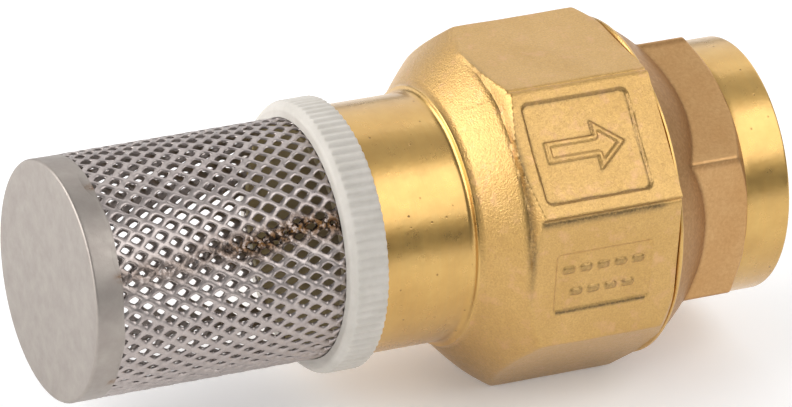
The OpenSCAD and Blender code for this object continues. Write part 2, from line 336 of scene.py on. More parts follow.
# ------------------------ mesh helpers
def signed_volume(points, faces):
    """Volume of a closed skin of four-cornered faces: negative if they face inwards."""
    a, b, c, d = (points[faces[:, k]] for k in range(4))
    first = np.einsum("ij,ij->", a, np.cross(b, c))
    return (first + np.einsum("ij,ij->", a, np.cross(c, d))) / 6


def make_piece(name, points, faces, body, sharp=32.0, marks=None):
    """A mesh piece in the row frame from millimetre points, riding on a body."""
    faces = np.asarray(faces)
    if signed_volume(points, faces) < 0:
        faces = faces[:, ::-1]
    loops = [[k for n, k in enumerate(f) if k != f[n - 1]] for f in faces.tolist()]
    mesh = bpy.data.meshes.new(name)
    mesh.from_pydata((points * MM).tolist(), [], loops)
    for mark, values in (marks or {}).items():
        attribute = mesh.attributes.new(mark, "FLOAT", "POINT")
        attribute.data.foreach_set("value", np.asarray(values, np.float32).ravel())
    mesh.shade_smooth()
    mesh.set_sharp_from_angle(angle=math.radians(sharp))
    piece = bpy.data.objects.new(name, mesh)
    bpy.context.scene.collection.objects.link(piece)
    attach(piece, body)
    return piece


def lathe(rows, angles, looped=True):
    """Points and faces of a skin turned about X. A row is (station, radius), each of them a
    number or one value per angle. Looped rows close on themselves; others end on the axis."""
    count = len(angles)
    x = np.array([np.broadcast_to(row[0], count) for row in rows], float)
    r = np.array([np.broadcast_to(row[1], count) for row in rows], float)
    turn = np.radians(angles)
    points = np.stack([x, -r * np.cos(turn), r * np.sin(turn)], -1).reshape(-1, 3)
    last = len(rows) if looped else len(rows) - 1
    i, j = np.meshgrid(np.arange(last), np.arange(count), indexing="ij")
    below, after = (i + 1) % len(rows), (j + 1) % count
    corners = [i * count + j, below * count + j, below * count + after, i * count + after]
    return points, np.stack(corners, -1).reshape(-1, 4)


def sweep_faces(steps, sides):
    """Faces of a skin whose points are rings of a few sides, one ring after another."""
    i, j = np.meshgrid(np.arange(steps), np.arange(sides), indexing="ij")
    after = (j + 1) % sides
    corners = [i * sides + j, (i + 1) * sides + j, (i + 1) * sides + after, i * sides + after]
    return np.stack(corners, -1).reshape(-1, 4)


def paint(piece, *materials):
    for material in materials:
        piece.data.materials.append(material)


def paint_rows(piece, count, pick):
    """Gives each face of a lathe the material index that pick returns for its first row."""
    indices = np.repeat([pick(row) for row in range(len(piece.data.polygons) // count)], count)
    piece.data.polygons.foreach_set("material_index", indices.astype(np.int32))


# ------------------------ material helpers
def srgb(red, green, blue):
    """A colour given by its 0 to 255 display values, as the shader takes it."""
    def linear(value):
        value = value / 255
        return value / 12.92 if value <= 0.04045 else ((value + 0.055) / 1.055) ** 2.4
    return linear(red), linear(green), linear(blue), 1.0


class Finish:
    """A procedural material: a Principled shader and short names for the nodes that feed it."""

    def __init__(self, name, **sockets):
        self.material = bpy.data.materials.new(name)
        self.material.use_nodes = True
        self.tree = self.material.node_tree
        self.shader = self.tree.nodes["Principled BSDF"]
        self.place = self.add("ShaderNodeTexCoord").outputs["Object"]
        for socket, value in sockets.items():
            self.shader.inputs[socket.replace("_", " ")].default_value = value

    def add(self, kind, inputs=None, **settings):
        node = self.tree.nodes.new(kind)
        for key, value in settings.items():
            setattr(node, key, value)
        for key, value in (inputs or {}).items():
            if isinstance(value, bpy.types.NodeSocket):
                self.tree.links.new(value, node.inputs[key])
            else:
                node.inputs[key].default_value = value
        return node

    def stretched(self, scale):
        return self.add("ShaderNodeMapping", {"Vector": self.place, "Scale": scale}).outputs[0]

    def noise(self, size, detail=2.0, roughness=0.5, vector=None):
        """Noise whose features are about size millimetres across."""
        inputs = {"Vector": vector or self.place, "Scale": 1 / (size * MM),
                  "Detail": detail, "Roughness": roughness}
        return self.add("ShaderNodeTexNoise", inputs).outputs["Fac"]

    def cells(self, size, vector=None):
        inputs = {"Vector": vector or self.place, "Scale": 1 / (size * MM)}
        return self.add("ShaderNodeTexVoronoi", inputs).outputs["Distance"]

    def band(self, value, low, high, to_low=0.0, to_high=1.0):
        inputs = {"Value": value, "From Min": low, "From Max": high,
                  "To Min": to_low, "To Max": to_high}
        return self.add("ShaderNodeMapRange", inputs).outputs["Result"]

    def times(self, a, b):
        return self.add("ShaderNodeMath", {0: a, 1: b}, operation="MULTIPLY").outputs[0]

    def mark(self, name):
        return self.add("ShaderNodeAttribute", attribute_name=name).outputs["Fac"]

    def blend(self, factor, low, high):
        """Mixes two colours, or colour sockets, by factor."""
        node = self.add("ShaderNodeMix", data_type="RGBA")
        factor_socket, low_socket, high_socket = (node.inputs[k] for k in (0, 6, 7))
        for socket, value in ((factor_socket, factor), (low_socket, low), (high_socket, high)):
            if isinstance(value, bpy.types.NodeSocket):
                self.tree.links.new(value, socket)
            else:
                socket.default_value = value
        return node.outputs[2]

    def bump(self, height, depth, normal=None, strength=1.0):
        """Unevenness of about depth millimetres."""
        inputs = {"Height": height, "Distance": depth * MM, "Strength": strength}
        if normal is not None:
            inputs["Normal"] = normal
        return self.add("ShaderNodeBump", inputs).outputs["Normal"]

    def feed(self, **sockets):
        for socket, value in sockets.items():
            self.tree.links.new(value, self.shader.inputs[socket.replace("_", " ")])
        return self.material


def forged_brass():
    """Shot-blasted forging: satin, fine sparkling grain and warm blotches, with painted shade in the
    corners, creases and on the lower facets, and darker bars on the plate.
    """
    f = Finish("forged_brass", Metallic=1.0, Coat_Weight=0.4, Coat_Roughness=0.3, Coat_IOR=1.8)
    blotch = f.band(f.noise(9, 4, 0.6), 0.3, 0.7)
    fine = f.band(f.noise(0.32, 3, 0.7), 0.3, 0.7)
    colour = f.blend(blotch, srgb(208, 166, 90), srgb(220, 179, 106))
    colour = f.blend(f.times(fine, 0.62), colour, srgb(178, 134, 74))
    rosy = f.band(f.noise(2.6, 3, 0.6), 0.56, 0.72, 0.0, 0.45)
    colour = f.blend(rosy, colour, srgb(222, 172, 128))
    # Painted shade: the mark darkens the forging below the pad, in the valley, along recess edges and
    # creases, and on the lower facets; it also tints the bars darker.
    painted_shade_and_tint = f.times(f.mark("painted_shade_and_tint"), f.band(f.noise(0.5, 3, 0.7), 0.25, 0.6, 0.35, 1.0))
    colour = f.blend(painted_shade_and_tint, colour, srgb(92, 72, 34))
    grain = f.bump(f.noise(0.24, 2, 0.6), 0.07)
    grain = f.bump(f.cells(0.42), 0.025, grain)
    rough = f.band(f.noise(0.8, 3, 0.6), 0.2, 0.8, 0.36, 0.52)
    return f.feed(Base_Color=colour, Roughness=rough, Normal=grain, Coat_Normal=grain)


def turned_brass():
    """Machined brass: fine turning rings, a few nicks, and a faint tarnish."""
    f = Finish("turned_brass", Metallic=1.0, Coat_Weight=0.4, Coat_Roughness=0.2, Coat_IOR=1.8)
    ringed = f.stretched((1.0, 0.03, 0.03))
    darkening = f.band(f.noise(7, 4, 0.65), 0.35, 0.75)
    colour = f.blend(darkening, srgb(210, 170, 96), srgb(194, 152, 82))
    streak = f.band(f.noise(0.5, 3, 0.6, ringed), 0.3, 0.7, 0.0, 0.35)
    colour = f.blend(streak, colour, srgb(210, 162, 84))
    nick = f.band(f.cells(2.6), 0.035, 0.09, 1.0, 0.0)
    colour = f.blend(f.times(nick, 0.7), colour, srgb(120, 86, 40))
    rings = f.bump(f.noise(0.16, 2, 0.7, ringed), 0.010)
    rings = f.bump(f.noise(1.3, 2, 0.5), 0.02, rings)
    rings = f.bump(nick, -0.04, rings)
    rough = f.band(f.noise(2.2, 4, 0.65), 0.25, 0.75, 0.24, 0.36)
    return f.feed(Base_Color=colour, Roughness=rough, Normal=rings, Coat_Normal=rings)


def hex_brass():
    """The outlet forging: a little pinker and smoother than the body, with painted shade from its mark.
    """
    f = Finish("hex_brass", Metallic=1.0)
    blotch = f.band(f.noise(6, 4, 0.6), 0.3, 0.7)
    colour = f.blend(blotch, srgb(198, 154, 102), srgb(208, 167, 116))
    fine = f.band(f.noise(0.5, 3, 0.6), 0.35, 0.7, 0.0, 0.35)
    colour = f.blend(fine, colour, srgb(170, 124, 76))
    # Painted shade on the cone and in its crease with the hexagon; also a darker line beside each
    # corner.
    painted_shade_and_tint = f.times(f.mark("painted_shade_and_tint"), f.band(f.noise(0.6, 3, 0.7), 0.25, 0.6, 0.4, 1.0))
    colour = f.blend(painted_shade_and_tint, colour, srgb(112, 74, 38))
    grain = f.bump(f.noise(0.38, 2, 0.6), 0.04)
    rough = f.band(f.noise(0.8, 3, 0.6), 0.2, 0.8, 0.38, 0.52)
    return f.feed(Base_Color=colour, Roughness=rough, Normal=grain)


def sieve_steel():
    """Expanded stainless sheet: grey strands with brown weld stains along the seam."""
    f = Finish("sieve_steel", Metallic=1.0)
    tint = f.band(f.noise(1.6, 3, 0.6), 0.3, 0.7)
    colour = f.blend(tint, srgb(168, 158, 154), srgb(188, 178, 173))
    stain = f.times(f.mark("stain"), f.band(f.noise(0.9, 3, 0.7), 0.3, 0.5))
    colour = f.blend(stain, colour, srgb(100, 70, 38))
    soot = f.times(f.mark("stain"), f.band(f.noise(0.6, 2, 0.6), 0.44, 0.56))
    colour = f.blend(soot, colour, srgb(38, 31, 26))
    rough = f.band(f.noise(0.9, 2, 0.6), 0.3, 0.7, 0.26, 0.42)
    return f.feed(Base_Color=colour, Roughness=rough, Normal=f.bump(f.noise(0.3, 2), 0.012))


def cap_steel():
    """Pressed stainless sheet, satin, with faint mottling and handling marks."""
    f = Finish("cap_steel", Metallic=1.0)
    mottle = f.band(f.noise(3.2, 4, 0.6), 0.3, 0.7)
    colour = f.blend(mottle, srgb(160, 151, 144), srgb(172, 164, 156))
    spot = f.times(f.mark("stain"), f.band(f.noise(0.8, 3, 0.7), 0.35, 0.6))
    colour = f.blend(spot, colour, srgb(128, 92, 58))
    scratch = f.band(f.noise(0.25, 2, 0.6, f.stretched((1.0, 0.35, 0.06))), 0.6, 0.75)
    rough = f.band(f.noise(1.4, 4, 0.6), 0.2, 0.8, 0.42, 0.55)
    normal = f.bump(f.noise(0.35, 3, 0.6), 0.012)
    return f.feed(Base_Color=colour, Roughness=rough, Normal=f.bump(scratch, -0.006, normal))


def white_nylon():
    """Moulded nylon, a little translucent, with a painted olive-brown shade inside the collar."""
    f = Finish("white_nylon", Subsurface_Weight=0.25, Subsurface_Scale=0.0012,
               Subsurface_Radius=(1.0, 0.95, 0.85), IOR=1.5)
    cloud = f.band(f.noise(3.5, 4, 0.6), 0.3, 0.7)
    colour = f.blend(cloud, srgb(200, 194, 184), srgb(213, 207, 198))
    speck = f.band(f.noise(0.5, 3, 0.6), 0.62, 0.78, 0.0, 0.35)
    colour = f.blend(speck, colour, srgb(190, 186, 178))
    # Painted shade: olive-brown inside the collar's bore and groove.
    colour = f.blend(f.mark("painted_inner_shade"), colour, srgb(176, 156, 108))
    rough = f.band(f.noise(1.2, 3, 0.6), 0.2, 0.8, 0.38, 0.52)
    return f.feed(Base_Color=colour, Roughness=rough, Normal=f.bump(f.noise(0.5, 3), 0.02))


def acetal():
    """Moulded acetal: off-white, faintly glossy."""
    f = Finish("acetal", Subsurface_Weight=0.15, Subsurface_Scale=0.001, IOR=1.48)
    cloud = f.band(f.noise(4, 3, 0.6), 0.3, 0.7)
    colour = f.blend(cloud, srgb(226, 222, 208), srgb(238, 235, 224))
    rough = f.band(f.noise(1.5, 3), 0.2, 0.8, 0.3, 0.44)
    return f.feed(Base_Color=colour, Roughness=rough, Normal=f.bump(f.noise(0.6, 3), 0.015))


def nitrile_rubber():
    f = Finish("nitrile_rubber", IOR=1.45)
    bloom = f.band(f.noise(2.5, 4, 0.6), 0.3, 0.7)
    colour = f.blend(bloom, srgb(28, 28, 29), srgb(44, 43, 42))
    rough = f.band(f.noise(1.0, 3), 0.2, 0.8, 0.5, 0.7)
    return f.feed(Base_Color=colour, Roughness=rough, Normal=f.bump(f.noise(0.3, 3), 0.015))


def plain_steel(name, low, high, smooth):
    """Drawn or turned stainless steel, with fine marks round the axis."""
    f = Finish(name, Metallic=1.0)
    tone = f.band(f.noise(2.5, 3, 0.6), 0.3, 0.7)
    colour = f.blend(tone, srgb(*low), srgb(*high))
    rough = f.band(f.noise(1.5, 3), 0.2, 0.8, smooth, smooth + 0.12)
    marks = f.bump(f.noise(0.2, 2, 0.6, f.stretched((1.0, 0.1, 0.1))), 0.006)
    return f.feed(Base_Color=colour, Roughness=rough, Normal=marks)


FORGED = forged_brass()
TURNED = turned_brass()
HEXED = hex_brass()
ACETAL = acetal()
RUBBER = nitrile_rubber()
STEM_STEEL = plain_steel("stem_steel", (178, 176, 172), (204, 202, 198), 0.2)
SPRING_STEEL = plain_steel("spring_steel", (168, 166, 164), (206, 204, 200), 0.24)


# ------------------------ the inlet body
def even_angles(step):
    return np.arange(0, 360, step)


def off_axis(angle, facing):
    """Signed degrees from a direction, within half a turn."""
    return (angle - facing + 180) % 360 - 180


def tilt(angle, facing):
    """Radians from a direction, no further than a flat that faces that way is needed."""
    return np.radians(np.clip(off_axis(angle, facing), -WIDEST_TILT, WIDEST_TILT))


def flat_face(angle, facing, distance):
    """Radius of a flat face that stands at a distance from the axis."""
    return distance / np.cos(tilt(angle, facing))


def shoulder_r(x, lead):
    """Radius of the domed shoulder, which rises on past its top, and the bevel at the joint."""
    start = NECK_X + SHOULDER_LEAD - lead
    t = (x - start) / (SHOULDER_L - SHOULDER_LEAD)
    dome = SHOULDER_R + (SHOULDER_TOP_R - SHOULDER_R) * t + SHOULDER_BOW * arch(t)
    dome = np.where(t > 1, SHOULDER_TOP_R + 2 * (t - 1), dome)
    bevel = JOINT_R + (JOINT_X - x) * (SHOULDER_TOP_R - JOINT_R) / JOINT_BEVEL_L
    return soft_min(dome, bevel, SHOULDER_SOFT)


def valley_weight(angle):
    """1 on the side of the body whose facets start at a step in the shoulder."""
    around = off_axis(angle, 0)
    return ease(around, *VALLEY_FADES_IN) * (1 - ease(around, *VALLEY_FADES_OUT))


def end_r(x, angle, lead):
    """Where the forging ends at its inlet side: the shoulder, and the facets on the front."""
    climb = VALLEY_R + (x - VALLEY_X) * FACET_RISE
    facets = np.minimum(*(flat_face(angle, corner, climb) for corner in FACET_CORNERS))
    facets = facets - VALLEY_DROP * np.clip(VALLEY_X - x, 0, None)
    groove = VALLEY_GROOVE * hump(x - VALLEY_X, 0.4)
    stepped = soft_max(np.minimum(shoulder_r(x, 0), VALLEY_R), facets, VALLEY_SOFT) - groove
    weight = valley_weight(angle)
    return shoulder_r(x, lead) * (1 - weight) + stepped * weight


def body_surface(x, angle):
    """Radius of the forged body, and its painted shade and tint."""
    away = off_axis(angle, PAD_ANGLE)
    across = tilt(angle, PAD_ANGLE)
    on_pad = np.abs(away) < PAD_REACH
    octagon = prism_r(angle, 8, FLAT_R, 0, OCTAGON_SHARPNESS)
    body = soft_min(octagon, end_r(x, angle, 0), END_SOFT)
    top = flat_face(angle, PAD_ANGLE, FLAT_R + PAD_H)
    sides = PAD_HALF_W / np.maximum(np.abs(np.sin(across)), 1e-3)
    pad = soft_min(soft_min(top, sides, PAD_SOFT), end_r(x, angle, PAD_LEAD), PAD_SOFT)
    pad = np.where(away > 0, soft_min(pad, flat_face(angle, TOP_ANGLE, FLAT_R), PAD_TOP_SOFT), pad)
    surface = soft_max(body, np.where(on_pad, pad, 0), PAD_FOOT_SOFT)
    s = surface * np.sin(across)
    painted_shade_and_tint = body_painted_shade(x, angle, s, on_pad)
    surface, pad_painted_shade = sink_pad_panel(surface, x, s, across, on_pad)
    surface, plate_painted_shade_and_tint = sink_front_plate(surface, x, angle)
    surface = surface + 0.05 * ripple(x, angle, 4.0, 3) * ease(x, NECK_X + 1, NECK_X + 4)
    return surface, np.clip(pad_painted_shade + plate_painted_shade_and_tint + painted_shade_and_tint, 0, 1)


def body_painted_shade(x, angle, s, on_pad):
    """Painted shadow below the pad, painted shade in the valley, and painted shade on the lower facets.
    """
    along = ease(x, VALLEY_X + 0.8, VALLEY_X + 1.6) * (1 - ease(x, JOINT_X - 4.4, JOINT_X - 1.4))
    below_pad = hump(s + PAD_HALF_W + 0.5, 0.5) * on_pad * along
    valley = hump(x - VALLEY_X - 0.1, 0.5) * valley_weight(angle)
    valley = valley * (1 - 0.6 * ease(off_axis(angle, 0), 40, 62))
    # Painted shade: the facets round the bottom are darkened.
    darkening = hump(off_axis(angle, -72), 38)
    return 0.9 * below_pad + 0.8 * valley + 0.42 * darkening


def sink_pad_panel(surface, x, s, across, on_pad):
    """The sunk panel on the pad, with a raised outline arrow that shows the flow, and painted shade
    along the panel's inner edge and round the arrow's foot.
    """
    u = x - PANEL["mid"]
    inside = box_distance(u, s, PANEL["length"] / 2, PANEL["width"] / 2, PANEL["corner"])
    inside = inside + 0.04 * np.sin(0.9 * u) * np.cos(0.5 * s)
    depth = PANEL["depth"] * (1 - ease(inside, -0.35, 0.15))
    arrow = outline_distance(u, s, arrow_outline(**ARROW))
    raised = ARROW_H * (1 - ease(arrow, -0.25, 0.2)) - ARROW_HOLLOW * (1 - ease(arrow, -1.0, -0.6))
    change = (raised - depth) / np.cos(across) * on_pad
    # Painted shade in the panel's edge and round the arrow's foot.
    rim = 0.6 * hump(inside + 0.2, 0.3)
    mark = 0.35 * hump(arrow - 0.15, 0.2)
    return surface + change, (rim + mark) * on_pad


def sink_front_plate(surface, x, angle):
    """The shallow plate on the front flat, with rows of plain raised bars tinted darker, and a painted
    shadow line under its lower edge.
    """
    on_flat = np.abs(off_axis(angle, 0)) < PLATE_REACH
    across = tilt(angle, 0)
    s = surface * np.sin(across)
    u = x - PLATE["mid"]
    inside = box_distance(u, s, PLATE["length"] / 2, PLATE["width"] / 2, PLATE["corner"])
    depth = PLATE["depth"] * (1 - ease(inside, -0.3, 0.15))
    raised, tinted = 0, 0
    for row_s, first, bars in BAR_ROWS:
        for k in range(bars):
            bar_u = u - first - BAR["pitch"] * k
            bar = box_distance(bar_u, s - row_s, BAR["half_l"], BAR["half_w"], BAR["corner"])
            raised = raised + BAR["height"] * (1 - ease(bar, -0.25, 0.15))
            tinted = tinted + BAR["tint"] * (1 - ease(bar, -0.15, 0.2))
    # Painted shadow along the plate's lower edge.
    below = 0.95 * hump(s + PLATE["width"] / 2 + 0.15, 0.28) * (np.abs(u) < PLATE["length"] / 2 - 0.5)
    change = (raised - depth) / np.cos(across) * on_flat
    return surface + change, np.clip(below + tinted, 0, 1) * on_flat


def inlet_angles():
    """Close together over the marked side and at the octagon's corners, wide on the flats."""
    marked_from, marked_to, first_corner, corner_half = -24, 72, 112.5, 3
    angles = [np.arange(marked_from, marked_to, 0.38)]
    angles += [np.arange(marked_to, first_corner - corner_half, 1.25)]
    for corner in first_corner + 45 * np.arange(5):
        angles += [np.arange(corner - corner_half, corner + corner_half, 0.4)]
        angles += [np.arange(corner + corner_half, corner + 45 - corner_half, 1.5)]
    return np.concatenate(angles)


def neck_rows():
    """The turned neck from the thread's mouth to the forging, with a small fillet."""
    edge = NECK_EDGE_R
    rows = [(INLET_X, THREAD_ROOT_R + THREAD_MOUTH_L), (INLET_X, NECK_R - edge)]
    rows += arc((INLET_X + edge, NECK_R - edge), edge, 180, 90, 4)[1:]
    rows += [(station, NECK_R) for station in np.linspace(INLET_X + 1, NECK_X - 1.15, 16)]
    rows += arc((NECK_X - 1.0, NECK_R + NECK_FILLET_R), NECK_FILLET_R, 270, 352, 7)
    return rows + [(NECK_X + 0.05, NECK_R + 0.98), (NECK_X + 0.3, NECK_R + 1.04)]


def inlet_passage_rows():
    """The passage from the joint to the thread: bores, cavity, seat and throat."""
    lip_x = SEAT_X - SEAT_LIP_H
    bore_r = SPIGOT_R + 0.1
    return [
        (JOINT_X, JOINT_R - JOINT_EDGE), (JOINT_X, COUNTERBORE_R),
        (JOINT_X - COUNTERBORE_L, COUNTERBORE_R), (JOINT_X - COUNTERBORE_L - 0.05, bore_r),
        (JOINT_X - SPIGOT_BORE_L, bore_r), (JOINT_X - SPIGOT_BORE_L - 0.05, CAVITY_R),
        (lip_x + CAVITY_CONE_L, CAVITY_R), (lip_x, SEAT_FLOOR_R), (lip_x, THROAT_R + 2 * SEAT_LIP_W),
        (SEAT_X, THROAT_R + SEAT_LIP_W), (SEAT_X, THROAT_R + 0.1), (SEAT_X - 0.2, THROAT_R),
        (THROAT_X + 0.1, THROAT_R), (THROAT_X, THROAT_R + 0.1), (THROAT_X, THREAD_ROOT_R - 0.05),
        (THROAT_X - 0.05, THREAD_ROOT_R), (INLET_X + THREAD_MOUTH_L, THREAD_ROOT_R),
    ]


def build_inlet_body():
    angles = inlet_angles()
    stations = np.arange(NECK_X + 1.0, JOINT_X - 0.05, 0.2)
    x, angle = np.meshgrid(stations, angles, indexing="ij")
    radius, painted_shade_and_tint = body_surface(x, angle)
    neck = neck_rows()
    rows = neck + list(zip(stations, radius)) + inlet_passage_rows()
    points, faces = lathe(rows, angles)
    marks = np.zeros((len(rows), len(angles)))
    marks[len(neck):len(neck) + len(stations)] = painted_shade_and_tint
    piece = make_piece("inlet_body_shell", points, faces, "valve_body", marks={"painted_shade_and_tint": marks})
    paint(piece, FORGED, TURNED)
    first, last = len(neck) - 1, len(neck) + len(stations) - 1
    paint_rows(piece, len(angles), lambda row: 0 if first <= row <= last else 1)
    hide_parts("inlet_body")


# ------------------------ the outlet body
def outlet_surface(x, angle):
    """Radius of the hexagon and the cone that it grows out of, and the painted shade on the cone and in
    the crease where they meet, with a darker line beside each corner.
    """
    t = np.clip((x - JOINT_X - FLANGE_L) / (CONE_L - FLANGE_L), 0, 2)
    cone = CONE_START_R + (CONE_END_R - CONE_START_R) * t + CONE_BOW * arch(t) * (t < 1)
    cone = cone + 0.05 * ripple(x, angle, 3.0, 11)
    hexagon = prism_r(angle, 6, HEX_HALF_AF, HEX_TURN, HEX_SHARPNESS)
    hexagon = soft_min(hexagon, HEX_END_R + (HEX_END_X - x) * HEX_END_SLOPE, 0.4)
    under = cone - hexagon
    # Painted shade: the crease where cone and hexagon meet, and the cone's faces, darkened.
    meeting = hump(under, 0.35) * ease(x, JOINT_X + 1.5, JOINT_X + 3)
    from_edge = np.radians((angle - HEX_TURN) % 60 - 30) * HEX_HALF_AF
    edges = hump(from_edge + 0.45, 0.4) * (1 - ease(under, -0.4, 0.1))
    painted_shade_and_tint = 0.5 * meeting + 0.45 * ease(under, -0.1, 0.6) + 0.5 * edges
    return soft_max(cone, hexagon, 0.3), np.clip(painted_shade_and_tint, 0, 1)


def flange_rows():
    """The joint face and the thin flange rim that stands proud of the joint."""
    return [
        (JOINT_X, SPIGOT_R + 0.05), (JOINT_X, FLANGE_R - 0.95), (JOINT_X + 0.22, FLANGE_R - 0.14),
        (JOINT_X + 0.36, FLANGE_R), (JOINT_X + 0.66, FLANGE_R), (JOINT_X + FLANGE_L, FLANGE_R - 0.1),
        (JOINT_X + FLANGE_L + 0.06, FLANGE_R - 0.55),
    ]


def outlet_end_rows():
    """The turned end from the hexagon, over its round edge, into the thread's mouth."""
    edge = OUTLET_EDGE_R
    rows = [(HEX_END_X + 0.02, OUTLET_R + 0.02), (HEX_END_X + 0.12, OUTLET_R - 0.05)]
    rows += [(station, OUTLET_R) for station in np.linspace(HEX_END_X + 0.4, MOUTH_X - 0.5, 12)]
    rows += arc((MOUTH_X - edge, OUTLET_R - edge), edge, 90, 0, 5)
    rows += [(MOUTH_X, THREAD_ROOT_R + 1.05), (MOUTH_X - 0.15, THREAD_ROOT_R + 0.85)]
    return rows + [(MOUTH_X - THREAD_MOUTH_L, THREAD_ROOT_R)]


def outlet_passage_rows():
    """The passage from the thread to the spigot's end, and back along the spigot's outside."""
    thread_end_x = MOUTH_X - OUTLET_THREAD_L
    return [
        (thread_end_x + 0.05, THREAD_ROOT_R), (thread_end_x, THREAD_ROOT_R - 0.1),
        (thread_end_x, OUTLET_LAND_R + 0.1), (thread_end_x - 0.1, OUTLET_LAND_R),
        (thread_end_x - OUTLET_LAND_L, OUTLET_LAND_R), (SHELF_X, SHELF_R),
        (SHELF_X, SPIGOT_BORE_R - 0.05), (SHELF_X - 0.05, SPIGOT_BORE_R),
        (SPIGOT_END_X + SPIGOT_EDGE, SPIGOT_BORE_R), (SPIGOT_END_X, SPIGOT_BORE_R + SPIGOT_EDGE),
        (SPIGOT_END_X, SPIGOT_R - SPIGOT_EDGE), (SPIGOT_END_X + SPIGOT_EDGE, SPIGOT_R),
        (RING_GROOVE_FAR_X, SPIGOT_R), (RING_GROOVE_FAR_X, RING_GROOVE_R),
        (RING_GROOVE_NEAR_X, RING_GROOVE_R), (RING_GROOVE_NEAR_X, SPIGOT_R),
    ]


def build_outlet_body():
    angles = even_angles(0.6)
    stations = np.arange(JOINT_X + 1.0, HEX_END_X, 0.2)
    x, angle = np.meshgrid(stations, angles, indexing="ij")
    radius, painted_shade_and_tint = outlet_surface(x, angle)
    flange = flange_rows()
    rows = flange + list(zip(stations, radius)) + outlet_end_rows() + outlet_passage_rows()
    points, faces = lathe(rows, angles)
    marks = np.zeros((len(rows), len(angles)))
    marks[len(flange):len(flange) + len(stations)] = painted_shade_and_tint
    piece = make_piece("outlet_body_shell", points, faces, "valve_body", marks={"painted_shade_and_tint": marks})
    paint(piece, HEXED, TURNED)
    first, last = len(flange) - 1, len(flange) + len(stations) - 1
    paint_rows(piece, len(angles), lambda row: 0 if first <= row <= last else 1)
    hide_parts("outlet_body")


# ------------------------ threads
def build_thread(name, body, low_x, high_x, base_r, crest_r, shift, material):
    """A helical ridge from the base radius to the crest, fading out at both ends."""
    steps_per_turn, fade_turns, thinnest = 72, 0.35, 0.03
    turns = (high_x - low_x) / THREAD_PITCH - 1
    steps = int(turns * steps_per_turn)
    turn = np.linspace(0, turns, steps + 1)
    fade = np.minimum(ease(turn, 0, fade_turns), ease(turns - turn, 0, fade_turns))
    fade = thinnest + (1 - thinnest) * fade
    centre_x = low_x + THREAD_PITCH / 2 + turn * THREAD_PITCH
    angle = (turn + (low_x + shift) / THREAD_PITCH) * 2 * math.pi
    rings = []
    for offset, height in RIDGE_SECTION:
        x = centre_x + offset * THREAD_PITCH
        r = base_r + (crest_r - base_r) * height * fade
        rings.append(np.stack([x, -r * np.cos(angle), r * np.sin(angle)], -1))
    points = np.stack(rings, 1).reshape(-1, 3)
    sides = len(RIDGE_SECTION)
    start = [[0, 1, 2, 5], [2, 3, 4, 5]]
    end = [[steps * sides + corner for corner in reversed(face)] for face in start]
    faces = np.vstack([sweep_faces(steps, sides), start, end])
    piece = make_piece(name, points, faces, body, sharp=40)
    paint(piece, material)
    return piece


# ------------------------ the strainer
def collar_outside_rows(rib):
    """From the sieve's groove over the collar's round nose and along its ribs to the neck."""
    front, back = COLLAR_FRONT_X, COLLAR_BACK_X
    rows = [(front, SIEVE_R + 0.1), (front, SIEVE_R + 0.6), (front + 0.02, COLLAR_R - 1.6)]
    rows += arc((front + COLLAR_NOSE_R, COLLAR_R - 1.5), COLLAR_NOSE_R, 178, 120, 6)
    edge_x, edge_r = rows[-1]
    for t in np.linspace(0.1, 1.0, 8):
        smooth_r = edge_r + (COLLAR_R - edge_r) * math.sin(t * math.pi / 2)
        rows.append((edge_x + t * 0.95, smooth_r - rib * ease(t, 0.35, 1.0)))
    for station in np.linspace(edge_x + 1.3, back - 0.35, 8):
        rows.append((station, COLLAR_R - rib))
    rows += [(back - 0.12, COLLAR_R - 0.12 - rib * 0.95), (back, COLLAR_R - 0.42 - rib * 0.6)]
    return rows + [(back, NECK_R - 1)]


def collar_inside_rows():
    """Along the spigot to its end, back through the bore, and round the sieve's groove."""
    front, back, end = COLLAR_FRONT_X, COLLAR_BACK_X, COLLAR_SPIGOT_X
    groove_r = SIEVE_R - SIEVE_T - 0.1
    lip_r = SIEVE_R - SIEVE_T - COLLAR_LIP_W
    return [
        (back, COLLAR_CORE_R + 0.05), (back + 0.1, COLLAR_CORE_R),
        (end - 0.5, COLLAR_CORE_R), (end, COLLAR_CORE_R - 0.5),
        (end, COLLAR_BORE_R + 0.3), (end - 0.3, COLLAR_BORE_R),
        (front + lip_r - COLLAR_BORE_R, COLLAR_BORE_R), (front, lip_r), (front, groove_r),
        (front + SIEVE_GROOVE_L, groove_r), (front + SIEVE_GROOVE_L, SIEVE_R + 0.1),
    ]


def build_collar(material):
    """The ribbed collar. The mouth of its bore and the sieve's groove get a painted olive-brown shade.
    """
    steps_per_rib = 8
    mouth_shade = (0.5, 0.9, 1.0, 1.0, 1.0, 0.6)
    angles = even_angles(360 / (COLLAR_RIBS * steps_per_rib))
    rib = COLLAR_RIB_H * (1 - ease(np.cos(np.radians(angles) * COLLAR_RIBS), -1.0, 0.8))
    rows = collar_outside_rows(rib) + collar_inside_rows()
    points, faces = lathe(rows, angles)
    painted_inner_shade = np.zeros(len(rows))
    painted_inner_shade[-len(mouth_shade):] = mouth_shade
    marks = {"painted_inner_shade": np.repeat(painted_inner_shade, len(angles))}
    piece = make_piece("strainer_collar_ribbed", points, faces, "strainer", sharp=45, marks=marks)
    paint(piece, material)
    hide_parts("strainer_collar")


def seam_angle(x):
    """Where the lengthwise weld runs; it leans and wanders a little over the length."""
    t = (x - CAP_FACE_X) / (COLLAR_FRONT_X - CAP_FACE_X)
    return SEAM_ANGLES[0] + (SEAM_ANGLES[1] - SEAM_ANGLES[0]) * t + 1.2 * np.sin(x / 2.3)


def seam_distance(x, angle):
    """Millimetres round the sieve from the weld."""
    return np.radians(off_axis(angle, seam_angle(x))) * SIEVE_R


